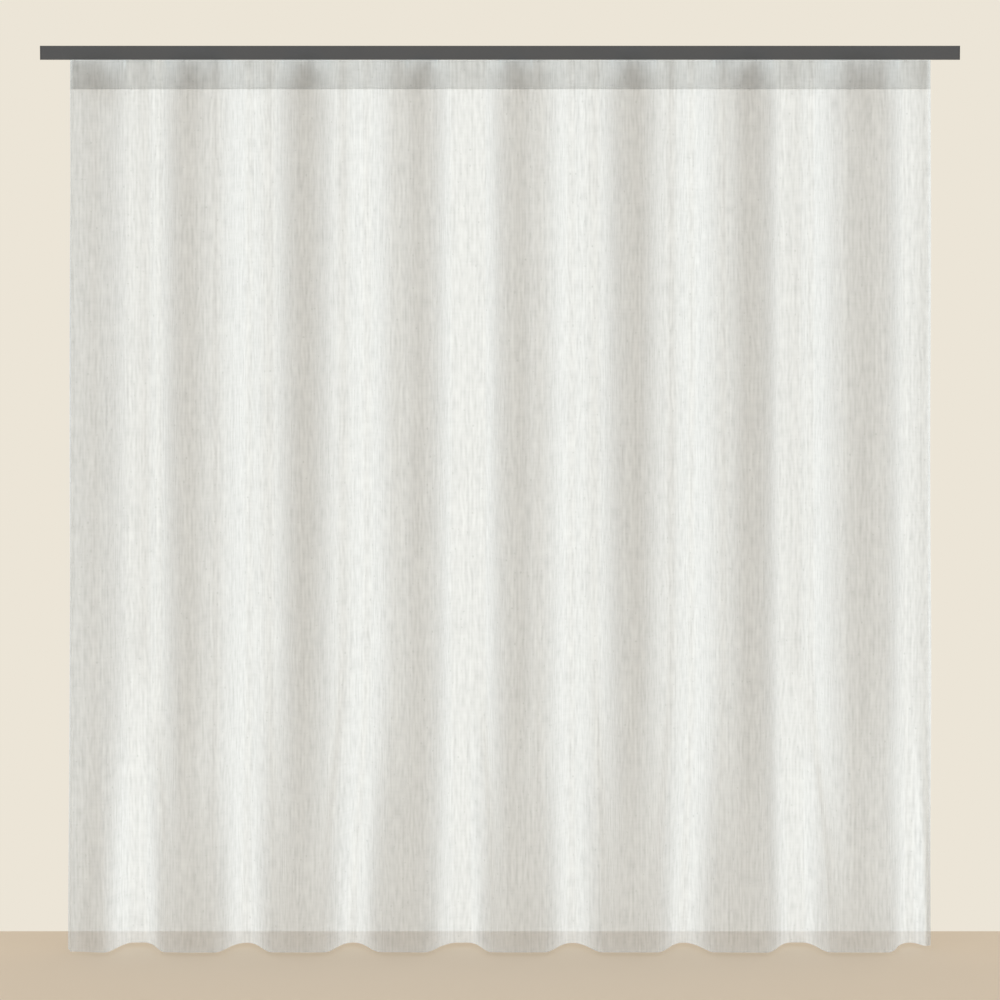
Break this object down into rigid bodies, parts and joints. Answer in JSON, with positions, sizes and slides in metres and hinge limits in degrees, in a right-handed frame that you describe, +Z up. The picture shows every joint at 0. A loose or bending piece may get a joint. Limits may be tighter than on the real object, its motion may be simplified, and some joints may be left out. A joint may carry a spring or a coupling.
{
  "type": "sheer voile curtain on a curtain rail",
  "caption": "Floor-length sheer voile curtain in soft wave folds, with a heading tape on gliders that run in a slim dark box-section rail; screens a window while letting light through.",
  "frame": {"origin": "middle of the rail's flat top face, where it is fixed to a bracket or a ceiling", "axes": "+X along the rail to the right as seen from the room, +Y from the room towards the wall, +Z up"},
  "size_m": [2.5, 0.1795, 2.49],
  "materials": {
    "voile": "sheer off-white linen-look voile, slubbed yarns, matt",
    "heading_tape": "woven curtain heading tape, translucent off-white, matt",
    "rail_paint": "satin dark grey powder coat on extruded aluminium",
    "cap_plastic": "matt dark grey moulded plastic",
    "glider_plastic": "white moulded plastic"
  },
  "bodies": {
    "root": {"voile_panel": "voile", "heading_tape": "heading_tape", "rail": "rail_paint", "end_cap_left": "cap_plastic", "end_cap_right": "cap_plastic", "glider_01": "glider_plastic", "glider_02": "glider_plastic", "glider_03": "glider_plastic", "glider_04": "glider_plastic", "glider_05": "glider_plastic", "glider_06": "glider_plastic", "glider_07": "glider_plastic", "glider_08": "glider_plastic", "glider_09": "glider_plastic", "glider_10": "glider_plastic", "glider_11": "glider_plastic", "glider_12": "glider_plastic", "glider_13": "glider_plastic", "glider_14": "glider_plastic", "glider_15": "glider_plastic", "glider_16": "glider_plastic"}
  },
  "joints": []
}
